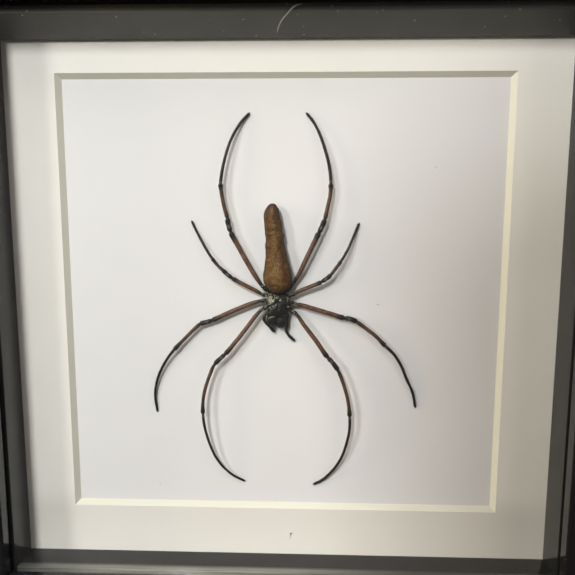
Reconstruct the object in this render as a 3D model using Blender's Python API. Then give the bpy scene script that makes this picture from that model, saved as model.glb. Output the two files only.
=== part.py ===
"""Framed orb weaver spider.

A large dried spider lies spread, back up and head down, on a white card. A cream mat with a
bevelled square window lies over the card, black spacer strips hold it away from the glass, and a
black mitred frame closes the box. The frame stands upright on its bottom rail: X to the right,
the glass faces -Y, Z up. The origin is the middle of the footprint on the surface below it.
"""

import math

import bmesh
import bpy
import numpy as np

MM = 0.001
GAP = 0.3  # left between pieces that touch

# Frame rails, in millimetres
FRAME_SIZE = 250.0  # outer side of the square
FRAME_DEPTH = 35.0
SIGHT_SIZE = 220.4  # side of the opening in front of the glass
RABBET_SIZE = 227.6  # side of the recess behind the lip
LIP_DEPTH = 5.0

# Flat pieces in the rabbet
INSERT_SIZE = 227.0  # side of the glass, mat, card and back panel
GLASS_THICK = 2.0
MAT_THICK = 2.0
CARD_THICK = 1.5
PANEL_THICK = 3.0
WINDOW_SIZE = 178.0  # the mat's window at its face; its edge is cut at 45 degrees
WINDOW_SHIFT = (0.2, -0.3)  # the window's middle from the frame's middle

# Spacer strips; the insides are measured from the frame's middle
SPACER_THICK = 3.3
SPACER_HEIGHT = 14.3
SPACER_LEFT = -109.2
SPACER_RIGHT = 110.0
SPACER_BOTTOM = -110.0
LEAN_FOOT = 99.9  # the top strip's inner foot, which slid inward until the strip jammed
LEAN_ANGLE = math.radians(26.0)

# Steel tabs behind the back panel
TAB_LENGTH = 16.0
TAB_WIDTH = 7.0
TAB_THICK = 0.5
TAB_IN_WOOD = 6.0
TAB_OFFSET = 55.0  # from the middle of each side

# Hanger plate on the back panel
HANGER_LENGTH = 44.0
HANGER_HEIGHT = 9.0
HANGER_THICK = 1.0
HANGER_RISE = 2.0  # its middle stands off the panel by this much more
HANGER_FOOT = 7.0  # length of the flat foot at each end
HANGER_Y = 80.0
HANGER_TEETH = 9
TOOTH_PITCH = 2.4
TOOTH_DEPTH = 1.6
PIN_OFFSET = 18.5
PIN_RADIUS = 0.9
PIN_HEAD_RADIUS = 2.0
PIN_HEAD_THICK = 0.6
PIN_IN_PANEL = 2.2

# Levels measured from the mat's face towards the viewer
SPACER_FOOT = GAP
GLASS_BACK = SPACER_FOOT + SPACER_HEIGHT + GAP
GLASS_FRONT = GLASS_BACK + GLASS_THICK
LIP_BACK = GLASS_FRONT + GAP
FRAME_FRONT = LIP_BACK + LIP_DEPTH
FRAME_BACK = FRAME_FRONT - FRAME_DEPTH
CARD_FACE = -MAT_THICK - GAP
PANEL_FACE = CARD_FACE - CARD_THICK - GAP
PANEL_BACK = PANEL_FACE - PANEL_THICK

# Abdomen, from its front end to the tail tip. Places on the spider are millimetres from the
# window's middle: x to the right, y up, h over the card.
# y, middle x, half width, h of the middle, half height
ABDOMEN = [
    (3.4, -1.4, 0.9, 5.2, 0.9),
    (4.1, -1.5, 3.1, 5.3, 2.9),
    (5.6, -1.6, 4.5, 5.4, 4.2),
    (7.4, -1.75, 5.5, 5.5, 4.9),
    (9.9, -1.9, 5.85, 5.5, 5.1),
    (13.0, -1.95, 5.3, 5.3, 4.8),
    (16.5, -2.15, 4.5, 5.2, 4.3),
    (20.7, -2.5, 3.9, 5.1, 3.8),
    (24.4, -2.95, 3.65, 5.0, 3.5),
    (28.3, -3.25, 3.55, 4.9, 3.4),
    (31.6, -3.65, 3.4, 4.8, 3.3),
    (34.9, -4.0, 3.0, 4.7, 2.9),
    (37.4, -4.0, 2.1, 4.6, 2.0),
    (38.7, -4.0, 0.9, 4.6, 0.9),
]

# Cephalothorax, from its rear to the front of the head: the carapace above its rim and the
# underside below.  y, middle x, half width, h of the rim, height above the rim, depth below it
CEPHALOTHORAX = [
    (2.8, -1.7, 1.9, 5.1, 0.8, 0.8),
    (2.0, -1.7, 3.7, 5.2, 1.7, 2.0),
    (0.8, -1.75, 4.6, 5.3, 2.2, 3.0),
    (-0.8, -1.7, 4.6, 5.3, 2.3, 3.2),
    (-2.2, -1.5, 4.0, 5.3, 2.4, 3.1),
    (-3.5, -1.2, 3.1, 5.3, 2.5, 2.6),
    (-4.6, -1.0, 2.6, 5.4, 2.1, 1.8),
    (-5.1, -1.0, 1.7, 5.5, 1.2, 1.0),
]

# Chelicerae: middle (x, y, h) and half sizes
CHELICERAE = {
    "chelicera_left": ((-4.1, -7.5, 4.1), (1.85, 2.2, 2.2)),
    "chelicera_right": ((-0.25, -7.8, 4.1), (1.6, 2.5, 2.2)),
}

# Palps, from the head to the tip
PALP_RADIUS = 0.6
PALPS = {
    "palp_left": [
        (-5.1, -4.3, 4.1), (-6.4, -5.0, 4.4), (-7.4, -6.2, 4.5), (-7.5, -7.8, 4.3),
        (-6.3, -9.3, 3.5), (-5.0, -10.7, 2.6), (-3.9, -12.1, 1.7), (-3.1, -12.9, 1.2),
    ],
    "palp_right": [
        (2.2, -4.4, 4.0), (2.5, -5.6, 4.2), (2.2, -7.6, 4.3), (1.9, -10.3, 4.0),
        (1.5, -12.1, 3.0), (2.3, -13.8, 2.2), (3.6, -15.3, 1.6), (5.1, -16.8, 1.0),
    ],
}

# Legs, from the body to the claw: coxa, femur, patella, tibia, foot. Each segment starts where
# the last one ends.
LEGS = {
    "leg_1_left": [
        [(-6.3, -1.8, 3.7), (-8.2, -3.2, 4.2)],
        [(-10.7, -5.8, 4.5), (-14.0, -10.2, 4.3), (-19.0, -16.6, 4.1), (-23.2, -21.7, 4.1)],
        [(-24.9, -23.3, 4.1), (-27.5, -26.0, 4.1)],
        [(-29.6, -30.9, 4.3), (-31.5, -36.3, 4.7), (-32.2, -40.5, 5.0), (-32.4, -45.0, 5.1)],
        [(-32.0, -51.9, 4.9), (-30.3, -59.2, 4.2), (-27.6, -66.1, 3.3), (-24.1, -71.5, 2.4),
         (-20.3, -75.1, 1.5), (-15.8, -77.7, 0.7)],
    ],
    "leg_2_left": [
        [(-6.6, 0.1, 3.7), (-8.3, 0.2, 4.0)],
        [(-11.9, -0.7, 4.0), (-17.6, -3.0, 3.6), (-23.4, -5.6, 3.2), (-28.6, -8.0, 3.0)],
        [(-31.0, -8.8, 3.0), (-33.5, -9.6, 2.9)],
        [(-35.8, -11.6, 2.9), (-39.3, -15.0, 2.9), (-43.6, -19.4, 2.9)],
        [(-46.4, -22.9, 2.7), (-49.4, -27.6, 2.3), (-51.9, -33.3, 1.8), (-53.2, -39.9, 1.2),
         (-52.6, -47.5, 0.7)],
    ],
    "leg_3_left": [
        [(-6.5, 1.9, 3.7), (-8.1, 2.9, 4.0)],
        [(-10.9, 4.5, 4.0), (-15.2, 6.7, 3.8), (-19.9, 9.3, 3.3)],
        [(-22.5, 11.2, 3.2), (-23.8, 12.5, 3.1)],
        [(-25.3, 13.8, 3.1), (-28.1, 17.1, 2.9)],
        [(-31.1, 21.7, 2.2), (-33.7, 26.3, 1.3), (-36.5, 32.0, 0.7)],
    ],
    "leg_4_left": [
        [(-5.7, 3.6, 2.5), (-7.6, 5.7, 3.4)],
        [(-10.4, 9.6, 4.4), (-13.2, 14.6, 4.8), (-17.0, 21.5, 4.9), (-20.2, 27.7, 4.8)],
        [(-21.1, 30.3, 4.8), (-21.5, 32.9, 4.8)],
        [(-22.5, 36.6, 5.0), (-23.6, 42.2, 5.2), (-24.0, 46.4, 5.3)],
        [(-23.4, 51.0, 5.2), (-22.0, 57.0, 4.8), (-19.4, 64.3, 3.6), (-16.0, 70.1, 1.8),
         (-12.8, 73.7, 0.7)],
    ],
    "leg_1_right": [
        [(2.9, -2.4, 3.7), (4.8, -4.3, 4.2)],
        [(8.9, -9.7, 4.4), (13.6, -15.8, 4.2), (18.6, -22.6, 4.1)],
        [(20.3, -24.4, 4.1), (22.8, -28.0, 4.1)],
        [(25.0, -33.4, 4.0), (27.0, -40.6, 3.7), (27.8, -47.2, 3.4)],
        [(27.9, -52.3, 3.2), (26.8, -59.0, 2.7), (24.2, -66.8, 2.1), (20.5, -73.0, 1.5),
         (16.5, -77.1, 1.0), (13.3, -79.0, 0.7)],
    ],
    "leg_2_right": [
        [(3.3, -0.4, 3.7), (5.1, -0.8, 4.0)],
        [(7.8, -1.4, 4.0), (12.0, -2.45, 3.8), (19.4, -4.7, 3.2), (25.0, -6.4, 3.0)],
        [(27.2, -6.8, 3.0), (30.0, -8.1, 2.9)],
        [(32.7, -10.4, 2.7), (37.3, -13.3, 2.4), (41.4, -17.6, 2.2)],
        [(44.5, -20.8, 2.1), (48.0, -26.0, 1.8), (50.6, -32.0, 1.4), (53.2, -37.7, 1.0),
         (54.6, -44.1, 0.7)],
    ],
    "leg_3_right": [
        [(3.2, 1.7, 3.7), (4.9, 3.2, 4.0)],
        [(7.0, 4.4, 4.1), (10.9, 6.1, 4.2), (15.5, 8.1, 4.2)],
        [(17.6, 9.5, 4.1), (19.3, 11.0, 4.0)],
        [(20.9, 13.2, 3.8), (23.2, 16.3, 3.5)],
        [(25.7, 20.6, 2.8), (28.3, 26.5, 1.6), (30.3, 31.3, 0.7)],
    ],
    "leg_4_right": [
        [(2.4, 3.6, 2.4), (4.2, 7.2, 2.8)],
        [(6.8, 11.3, 3.9), (9.3, 16.7, 4.5), (12.0, 22.4, 4.4), (14.5, 27.6, 4.2)],
        [(15.6, 29.9, 4.1), (16.7, 32.6, 4.0)],
        [(17.8, 37.5, 3.7), (18.8, 42.3, 3.5), (19.0, 46.5, 3.4)],
        [(18.3, 53.3, 3.2), (16.9, 58.8, 2.9), (14.9, 64.6, 2.3), (12.0, 70.4, 1.4),
         (9.3, 73.8, 0.7)],
    ],
}
LEG_SCALE = {"leg_3_left": 0.9, "leg_3_right": 0.9}

# Radius of each leg segment at shares of its length
SEGMENT_RADII = [
    [(0.0, 0.85), (0.45, 0.9), (0.85, 0.78)],
    [(0.0, 0.7), (0.1, 0.74), (0.35, 0.78), (0.65, 0.8), (0.9, 0.88)],
    [(0.0, 0.7), (0.3, 0.82), (0.75, 0.86)],
    [(0.0, 0.62), (0.12, 0.66), (0.4, 0.62), (0.7, 0.62), (0.93, 0.74)],
    [(0.0, 0.5), (0.06, 0.52), (0.2, 0.48), (0.34, 0.46), (0.48, 0.45), (0.6, 0.44), (0.72, 0.43),
     (0.83, 0.42), (0.93, 0.4)],
]
LEG_SIDES = 8
BODY_SIDES = 16


def clear_scene():
    for obj in list(bpy.data.objects):
        bpy.data.objects.remove(obj, do_unlink=True)


def material(name, colour, roughness, metallic=0.0):
    made = bpy.data.materials.new(name)
    made.use_nodes = True
    shader = made.node_tree.nodes["Principled BSDF"]
    shader.inputs["Base Color"].default_value = (*colour, 1.0)
    shader.inputs["Roughness"].default_value = roughness
    shader.inputs["Metallic"].default_value = metallic
    return made


def empty(name, location, rotation=(0.0, 0.0, 0.0), parent=None):
    obj = bpy.data.objects.new(name, None)
    obj.location = location
    obj.rotation_euler = rotation
    obj.parent = parent
    bpy.context.collection.objects.link(obj)
    return obj


def solid(name, points, faces, finish, parent, smooth=False):
    """An object from points in millimetres, its faces turned outward."""
    mesh = bpy.data.meshes.new(name)
    mesh.from_pydata([tuple(float(c) * MM for c in p) for p in points], [], faces)
    shape = bmesh.new()
    shape.from_mesh(mesh)
    bmesh.ops.recalc_face_normals(shape, faces=shape.faces)
    shape.to_mesh(mesh)
    shape.free()
    mesh.materials.append(finish)
    if smooth:
        mesh.shade_smooth()
    obj = bpy.data.objects.new(name, mesh)
    obj.parent = parent
    bpy.context.collection.objects.link(obj)
    return obj


def prism(name, outline, low, high, finish, parent):
    """An outline in x and y, raised from low to high along the third axis."""
    count = len(outline)
    points = [(x, y, low) for x, y in outline] + [(x, y, high) for x, y in outline]
    sides = [(i, (i + 1) % count, (i + 1) % count + count, i + count) for i in range(count)]
    ends = [tuple(reversed(range(count))), tuple(range(count, 2 * count))]
    return solid(name, points, sides + ends, finish, parent)


def box(name, x, y, w, finish, parent):
    """A box between the pairs x, y and w."""
    outline = [(x[0], y[0]), (x[1], y[0]), (x[1], y[1]), (x[0], y[1])]
    return prism(name, outline, w[0], w[1], finish, parent)


def cylinder(name, x, y, radius, low, high, finish, parent, sides=16):
    turn = 2 * math.pi / sides
    outline = [
        (x + radius * math.cos(turn * i), y + radius * math.sin(turn * i)) for i in range(sides)
    ]
    return prism(name, outline, low, high, finish, parent)


def cut(obj, cutter):
    """Takes the cutter's shape out of obj."""
    cutter.hide_render = True
    cutter.display_type = "WIRE"
    boolean = obj.modifiers.new("cut", "BOOLEAN")
    boolean.operation = "DIFFERENCE"
    boolean.solver = "EXACT"
    boolean.object = cutter


def skin(rings):
    """Faces over rings of points, with a single point at each end."""
    sides = len(rings[1])
    points = [rings[0][0]]
    for ring in rings[1:-1]:
        points.extend(ring)
    points.append(rings[-1][0])
    last = len(points) - 1
    inner = len(rings) - 2
    faces = [(0, 1 + (j + 1) % sides, 1 + j) for j in range(sides)]
    for i in range(inner - 1):
        a = 1 + i * sides
        b = a + sides
        for j in range(sides):
            k = (j + 1) % sides
            faces.append((a + j, a + k, b + k, b + j))
    end = 1 + (inner - 1) * sides
    faces += [(last, end + j, end + (j + 1) % sides) for j in range(sides)]
    return points, faces


def smooth_curve(knots, places):
    """Points on a smooth curve through the knots, at places counted in knots."""
    knots = np.asarray(knots, float)
    length = np.linalg.norm(np.diff(knots, axis=0), axis=1)
    slope = np.diff(knots, axis=0) / length[:, None]
    tangent = np.empty_like(knots)
    tangent[0] = slope[0]
    tangent[-1] = slope[-1]
    share = length[:-1] / (length[:-1] + length[1:])
    tangent[1:-1] = slope[:-1] * (1 - share[:, None]) + slope[1:] * share[:, None]
    out = []
    for place in places:
        i = min(int(place), len(knots) - 2)
        t = place - i
        rise = 3 * t**2 - 2 * t**3
        out.append(
            knots[i] * (1 - rise)
            + knots[i + 1] * rise
            + tangent[i] * length[i] * (t**3 - 2 * t**2 + t)
            + tangent[i + 1] * length[i] * (t**3 - t**2)
        )
    return np.array(out)


def tube(name, path, radii, finish, parent, sides=LEG_SIDES):
    """A round limb along the path with its own radius at each point and rounded ends."""
    path = np.asarray(path)
    ahead = np.gradient(path, axis=0)
    ahead /= np.linalg.norm(ahead, axis=1)[:, None]
    up = np.array([0.0, 0.0, 1.0])
    rings = [[path[0] - ahead[0] * radii[0] * 0.45]]
    for point, way, radius in zip(path, ahead, radii):
        side = np.cross(way, up)
        side /= np.linalg.norm(side)
        rise = np.cross(side, way)
        rings.append([
            point + radius * (math.cos(a) * side + math.sin(a) * rise)
            for a in (2 * math.pi * j / sides for j in range(sides))
        ])
    rings.append([path[-1] + ahead[-1] * radii[-1] * 0.45])
    points, faces = skin(rings)
    return solid(name, points, faces, finish, parent, smooth=True)


def loft(name, stations, section, finish, parent, sides=BODY_SIDES):
    """A closed body through cross-sections; section(station, angle) gives each point."""
    turn = 2 * math.pi / sides
    rings = [[section(s, turn * j) for j in range(sides)] for s in stations]
    ends = [[np.mean(rings[0], axis=0)], [np.mean(rings[-1], axis=0)]]
    points, faces = skin([ends[0], *rings, ends[1]])
    return solid(name, points, faces, finish, parent, smooth=True)


def make_rail(name, turn, finish, board):
    """One rail with its lip, cut at 45 degrees at both ends, turned into place."""
    sight, rabbet, outer = SIGHT_SIZE / 2, RABBET_SIZE / 2, FRAME_SIZE / 2
    section = [
        (sight, LIP_BACK), (sight, FRAME_FRONT), (outer, FRAME_FRONT),
        (outer, FRAME_BACK), (rabbet, FRAME_BACK), (rabbet, LIP_BACK),
    ]
    points = []
    for end in (-1, 1):
        points += [(end * (out - GAP / 2), -out, w) for out, w in section]
    count = len(section)
    faces = [(i, (i + 1) % count, (i + 1) % count + count, i + count) for i in range(count)]
    faces += [tuple(reversed(range(count))), tuple(range(count, 2 * count))]
    rail = solid(name, points, faces, finish, board)
    rail.rotation_euler = (0.0, 0.0, turn)
    return rail


def make_tabs(rail, side, steel):
    """Two steel tabs, half in pockets of the rail and half over the back panel."""
    wall = -RABBET_SIZE / 2
    high = PANEL_BACK - GAP
    low = high - TAB_THICK
    for word, x in (("a", -TAB_OFFSET), ("b", TAB_OFFSET)):
        half = TAB_WIDTH / 2
        foot = wall - TAB_IN_WOOD
        outline = [
            (x, foot), (x + half, foot + half), (x + half, foot + TAB_LENGTH),
            (x - half, foot + TAB_LENGTH), (x - half, foot + half),
        ]
        prism(f"tab_{side}_{word}", outline, low, high, steel, rail)
        pocket = box(
            f"pocket_{side}_{word}", (x - half - GAP, x + half + GAP), (foot - GAP, wall + GAP),
            (low - GAP, high + GAP), steel, rail,
        )
        cut(rail, pocket)


def make_frame(board, black, steel):
    sides = ("bottom", "right", "top", "left")
    for number, side in enumerate(sides):
        rail = make_rail(f"rail_{side}", number * math.pi / 2, black, board)
        make_tabs(rail, side, steel)


def make_spacers(board, black):
    """Three upright strips and the one at the top that has slipped and leans."""
    top = SPACER_FOOT + SPACER_HEIGHT
    reach = INSERT_SIZE / 2
    upright = (SPACER_FOOT, top)
    box("spacer_left", (SPACER_LEFT - SPACER_THICK, SPACER_LEFT), (-reach, reach), upright,
        black, board)
    box("spacer_right", (SPACER_RIGHT, SPACER_RIGHT + SPACER_THICK), (-reach, reach), upright,
        black, board)
    between = (SPACER_LEFT + GAP, SPACER_RIGHT - GAP)
    box("spacer_bottom", between, (SPACER_BOTTOM - SPACER_THICK, SPACER_BOTTOM), upright,
        black, board)
    leaning = box("spacer_top", between, (0.0, SPACER_THICK), (0.0, SPACER_HEIGHT), black, board)
    lift = SPACER_FOOT + SPACER_THICK * math.sin(LEAN_ANGLE)
    leaning.location = (0.0, LEAN_FOOT * MM, lift * MM)
    leaning.rotation_euler = (-LEAN_ANGLE, 0.0, 0.0)


def make_mat(board, paper):
    """A square ring whose window is cut at 45 degrees, wider at the face."""
    outer = INSERT_SIZE / 2
    across, up = WINDOW_SHIFT
    corners = [(-1, -1), (1, -1), (1, 1), (-1, 1)]

    def square(half, w, shift=(0.0, 0.0)):
        return [(shift[0] + half * i, shift[1] + half * j, w) for i, j in corners]

    window = WINDOW_SIZE / 2
    points = (
        square(outer, 0.0)
        + square(window, 0.0, (across, up))
        + square(window - MAT_THICK, -MAT_THICK, (across, up))
        + square(outer, -MAT_THICK)
    )
    faces = []
    for loop in range(4):
        a = 4 * loop
        b = 4 * ((loop + 1) % 4)
        faces += [(a + i, a + (i + 1) % 4, b + (i + 1) % 4, b + i) for i in range(4)]
    solid("mat", points, faces, paper, board)


def make_flat_pieces(board, glass, paper, panel):
    half = (-INSERT_SIZE / 2, INSERT_SIZE / 2)
    box("glass", half, half, (GLASS_BACK, GLASS_FRONT), glass, board)
    box("backing_card", half, half, (CARD_FACE - CARD_THICK, CARD_FACE), paper, board)
    return box("back_panel", half, half, (PANEL_BACK, PANEL_FACE), panel, board)


def make_hanger(board, panel, steel):
    """A saw-tooth plate whose middle stands off the panel, held by two pins."""
    foot = PANEL_BACK - GAP
    inner = HANGER_LENGTH / 2 - HANGER_FOOT
    profile = [
        (-HANGER_LENGTH / 2, 0.0), (-inner, 0.0), (-inner + HANGER_RISE, -HANGER_RISE),
        (inner - HANGER_RISE, -HANGER_RISE), (inner, 0.0), (HANGER_LENGTH / 2, 0.0),
    ]
    edge = [(x, foot + w) for x, w in profile]
    outline = edge + [(x, w - HANGER_THICK) for x, w in reversed(edge)]
    low, high = HANGER_Y - HANGER_HEIGHT / 2, HANGER_Y + HANGER_HEIGHT / 2
    count = len(outline)
    points = [(x, y, w) for y in (low, high) for x, w in outline]
    faces = [(i, (i + 1) % count, (i + 1) % count + count, i + count) for i in range(count)]
    faces += [tuple(reversed(range(count))), tuple(range(count, 2 * count))]
    hanger = solid("hanger", points, faces, steel, board)

    first = -HANGER_TEETH * TOOTH_PITCH / 2
    teeth = [(first, low - 1.0)]
    for tooth in range(HANGER_TEETH):
        x = first + tooth * TOOTH_PITCH
        teeth += [(x, low + 0.1), (x + TOOTH_PITCH / 2, low + TOOTH_DEPTH)]
    end = first + HANGER_TEETH * TOOTH_PITCH
    teeth += [(end, low + 0.1), (end, low - 1.0)]
    cut(hanger, prism("hanger_teeth", list(reversed(teeth)), foot - 6.0, foot, steel, board))

    head = foot - HANGER_THICK - GAP
    tip = PANEL_BACK + PIN_IN_PANEL
    for side, x in (("left", PIN_OFFSET), ("right", -PIN_OFFSET)):
        hole = cylinder(f"hanger_hole_{side}", x, HANGER_Y, PIN_RADIUS + GAP,
                        foot - 3.0, tip + GAP, steel, board)
        cut(hanger, hole)
        cut(panel, hole)
        pin = cylinder(f"hanger_pin_{side}", x, HANGER_Y, PIN_HEAD_RADIUS,
                       head - PIN_HEAD_THICK, head, steel, board)
        shank = cylinder(f"shank_{side}", x, HANGER_Y, PIN_RADIUS, head - PIN_HEAD_THICK / 2,
                         tip, steel, board)
        shank.hide_render = True
        shank.display_type = "WIRE"
        join = pin.modifiers.new("shank", "BOOLEAN")
        join.operation = "UNION"
        join.object = shank


def abdomen_point(station, angle):
    y, x, width, h, height = station
    return x + width * math.cos(angle), y, h + height * math.sin(angle)


def shell_point(station, angle):
    """The carapace's dome above the rim, and a narrower underside below it."""
    y, x, width, rim, above, below = station
    rise = math.sin(angle)
    if rise >= 0:
        return x + width * math.cos(angle), y, rim + above * rise
    return x + width * math.cos(angle) * (1 + 0.45 * rise), y, rim + below * rise


def egg_point(station, angle):
    """A ring of an egg-shaped jaw: station holds its middle, half sizes and share of length."""
    (x, y, h), (wide, long, high), share = station
    ring = math.sin(math.pi * share)
    along = -math.cos(math.pi * share)
    return (
        x + wide * ring * math.cos(angle), y - long * along, h + high * ring * math.sin(angle)
    )


def make_body(spider, brown, dark):
    places = np.linspace(0, len(ABDOMEN) - 1, 25)
    loft("abdomen", smooth_curve(ABDOMEN, places), abdomen_point, brown, spider)
    places = np.linspace(0, len(CEPHALOTHORAX) - 1, 14)
    loft("cephalothorax", smooth_curve(CEPHALOTHORAX, places), shell_point, dark, spider)
    for name, (middle, half) in CHELICERAE.items():
        stations = [(middle, half, share) for share in (0.1, 0.25, 0.4, 0.5, 0.6, 0.75, 0.9)]
        loft(name, stations, egg_point, dark, spider, sides=12)


def make_palps(spider, dark):
    for name, knots in PALPS.items():
        path = smooth_curve(knots, np.linspace(0, len(knots) - 1, 20))
        tube(name, path, [PALP_RADIUS] * len(path), dark, spider)


def make_leg(name, segments, spider, brown):
    """Rings at each segment's own shares, so that the joints keep their waists and knobs."""
    scale = LEG_SCALE.get(name, 1.0)
    knots = [point for segment in segments for point in segment]
    places, radii = [], []
    start = 0
    for number, segment in enumerate(segments):
        # the coxa holds its own first knot; the others start at the last knot of the one before
        spans = len(segment) - 1 if number == 0 else len(segment)
        for share, radius in SEGMENT_RADII[number]:
            places.append(start + share * spans)
            radii.append(radius * scale)
        start += spans
    places.append(start)
    radii.append(0.3 * scale)
    tube(name, smooth_curve(knots, places), radii, brown, spider)


def main():
    clear_scene()
    black = material("black_paint", (0.02, 0.02, 0.02), 0.35)
    glass = material("clear_glass", (0.9, 0.95, 0.93), 0.02)
    cream = material("cream_board", (0.85, 0.83, 0.78), 0.8)
    white = material("white_card", (0.86, 0.85, 0.83), 0.8)
    fibre = material("brown_fibreboard", (0.35, 0.23, 0.13), 0.7)
    steel = material("zinc_steel", (0.6, 0.6, 0.58), 0.35, 1.0)
    brown = material("brown_skin", (0.18, 0.1, 0.04), 0.55)
    red_brown = material("red_brown_leg", (0.16, 0.06, 0.03), 0.45)
    dark = material("dark_shell", (0.03, 0.03, 0.028), 0.4)

    # The board's own axes: x to the right, y up, w out of the mat's face towards the viewer
    board = empty(
        "board",
        (0.0, (FRAME_FRONT - FRAME_DEPTH / 2) * MM, FRAME_SIZE / 2 * MM),
        (math.pi / 2, 0.0, 0.0),
    )
    make_frame(board, black, steel)
    make_spacers(board, black)
    make_mat(board, cream)
    panel = make_flat_pieces(board, glass, white, fibre)
    make_hanger(board, panel, steel)

    across, up = WINDOW_SHIFT
    spider = empty("spider", (across * MM, up * MM, CARD_FACE * MM), parent=board)
    make_body(spider, brown, dark)
    make_palps(spider, dark)
    for name, segments in LEGS.items():
        make_leg(name, segments, spider, red_brown)


main()
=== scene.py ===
"""A dried orb weaver spider in a black shadow-box frame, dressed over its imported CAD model."""

import math

import bmesh
import bpy
import numpy as np
from mathutils import Matrix


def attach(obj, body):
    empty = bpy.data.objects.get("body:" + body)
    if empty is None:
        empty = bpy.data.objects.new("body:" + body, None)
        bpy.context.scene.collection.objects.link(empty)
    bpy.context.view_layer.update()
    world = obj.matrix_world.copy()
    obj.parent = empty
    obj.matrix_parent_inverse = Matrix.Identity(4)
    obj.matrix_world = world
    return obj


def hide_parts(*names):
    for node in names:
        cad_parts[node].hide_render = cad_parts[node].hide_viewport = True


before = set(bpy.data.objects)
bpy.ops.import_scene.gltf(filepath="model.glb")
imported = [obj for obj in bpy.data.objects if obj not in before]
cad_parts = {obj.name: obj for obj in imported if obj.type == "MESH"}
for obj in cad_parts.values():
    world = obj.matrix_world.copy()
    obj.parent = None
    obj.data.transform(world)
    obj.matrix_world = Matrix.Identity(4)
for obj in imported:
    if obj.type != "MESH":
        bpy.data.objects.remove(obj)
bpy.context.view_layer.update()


# Camera
# The frame was looked at from about 23 cm in front of its glass and a little above its middle,
# with the lens tipped down by eight degrees.
CAMERA_PLACE = (0.01070, -0.24190, 0.16557)
CAMERA_RIGHT = (0.99936, 0.03562, 0.00175)
CAMERA_UP = (-0.00678, 0.14171, 0.98988)
CAMERA_BACK = (0.03502, -0.98927, 0.14186)

camera = bpy.data.objects.new("camera", bpy.data.cameras.new("camera"))
camera.data.lens = 38.72
camera.data.sensor_width = 36.0
camera.data.clip_start = 0.01
camera.data.clip_end = 20.0
turned = Matrix((CAMERA_RIGHT, CAMERA_UP, CAMERA_BACK)).transposed().to_4x4()
camera.matrix_world = Matrix.Translation(CAMERA_PLACE) @ turned
bpy.context.collection.objects.link(camera)
bpy.context.scene.camera = camera


# Frame rails
# Four lengths of wood moulding with a lip in front of the glass, cut at 45 degrees and glued at
# the corners, and sprayed with glossy black lacquer. Sizes are millimetres from the frame's
# middle: across, up, and out of the mat's face towards the viewer.
MM = 0.001
MIDDLE_HEIGHT = 125.0
MAT_FACE_DEPTH = 4.7  # of the mat's face behind the middle of the frame's depth
OUTER = 125.0
SIGHT = 110.2  # half the opening between the lips
RABBET = 113.8  # half the opening behind them
LIP_FRONT = 22.2
LIP_BACK = 16.95
RAIL_BACK = -12.8
MITRE_GAP = 0.03
MITRE_GROOVE = 0.3
GROOVED_SIZE = 0.99  # of a rail's section at its cut ends, against its size elsewhere
BLACK_LACQUER = (0.011, 0.011, 0.012, 1.0)
ORANGE_PEEL = 0.000006  # height of the sprayed coat's ripples, metres
DUST_COLOUR = (0.40, 0.40, 0.345, 1.0)
SPECKS_PER_METRE = 500.0


def place(points):
    """Millimetres from the frame's middle to metres, with the frame stood on its bottom rail."""
    points = np.asarray(points, float)
    return np.stack([
        points[..., 0] * MM,
        (MAT_FACE_DEPTH - points[..., 2]) * MM,
        (MIDDLE_HEIGHT + points[..., 1]) * MM,
    ], axis=-1)


def closed_shell(rings):
    """Quads between each ring of points and the next, and a fan to the middle of both end rings."""
    count, around = rings.shape[:2]
    start = np.arange(count * around).reshape(count, around)
    after = np.roll(start, -1, axis=1)
    quads = np.stack([start[:-1], after[:-1], after[1:], start[1:]], axis=-1).reshape(-1, 4)
    points = np.concatenate([rings.reshape(-1, 3), rings[[0, -1]].mean(axis=1)])
    low, high = count * around, count * around + 1
    fans = [np.stack([after[0], start[0], np.full(around, low)], axis=-1)]
    fans += [np.stack([start[-1], after[-1], np.full(around, high)], axis=-1)]
    return points, [quads, *fans]


def make_piece(name, points, faces, finishes, masks=(), smooth=True, inks=None):
    """A named piece from points in millimetres; faces are arrays of corners, all turned outward.

    masks are numbers on each point that the finish reads, and inks is each face array's finish.
    """
    mesh = bpy.data.meshes.new(name)
    mesh.from_pydata(place(points).tolist(), [], [f for array in faces for f in array.tolist()])
    for word, values in dict(masks).items():
        mesh.attributes.new(word, "FLOAT", "POINT").data.foreach_set("value", np.ravel(values))
    for finish in finishes:
        mesh.materials.append(finish)
    if inks is not None:
        indices = np.repeat(inks, [len(array) for array in faces]).astype(np.int32)
        mesh.polygons.foreach_set("material_index", indices)
    mesh.polygons.foreach_set("use_smooth", np.full(len(mesh.polygons), smooth))
    shape = bmesh.new()
    shape.from_mesh(mesh)
    bmesh.ops.recalc_face_normals(shape, faces=shape.faces)
    shape.to_mesh(mesh)
    shape.free()
    piece = bpy.data.objects.new(name, mesh)
    bpy.context.collection.objects.link(piece)
    return piece


def stand_for(piece, node):
    """The piece takes the place of the CAD node of that name."""
    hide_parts(node)
    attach(piece, "root")


def refinish(node, finish):
    """The CAD node keeps its solid and takes a new material."""
    node.data.materials.clear()
    node.data.materials.append(finish)


def rounded(corners, radii, steps=5):
    """A closed outline with each right-angled corner turned into a quarter circle.

    From corner c with the way in a and the way out b: c + r (b (1 - cos t) - a (1 - sin t)).
    """
    corners = np.asarray(corners, float)
    ways = np.roll(corners, -1, axis=0) - corners
    ways /= np.linalg.norm(ways, axis=1)[:, None]
    turn = np.linspace(0.0, math.pi / 2, steps)[:, None]
    outline = []
    for corner, before, after, radius in zip(corners, np.roll(ways, 1, axis=0), ways, radii):
        arc = after * (1 - np.cos(turn)) - before * (1 - np.sin(turn))
        support = radius * 0.25  # a point this far past each arc keeps the flats shaded flat
        outline += [corner - before * (radius + support), *(corner + radius * arc)]
        outline += [corner + after * (radius + support)]
    return np.array(outline)


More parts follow.
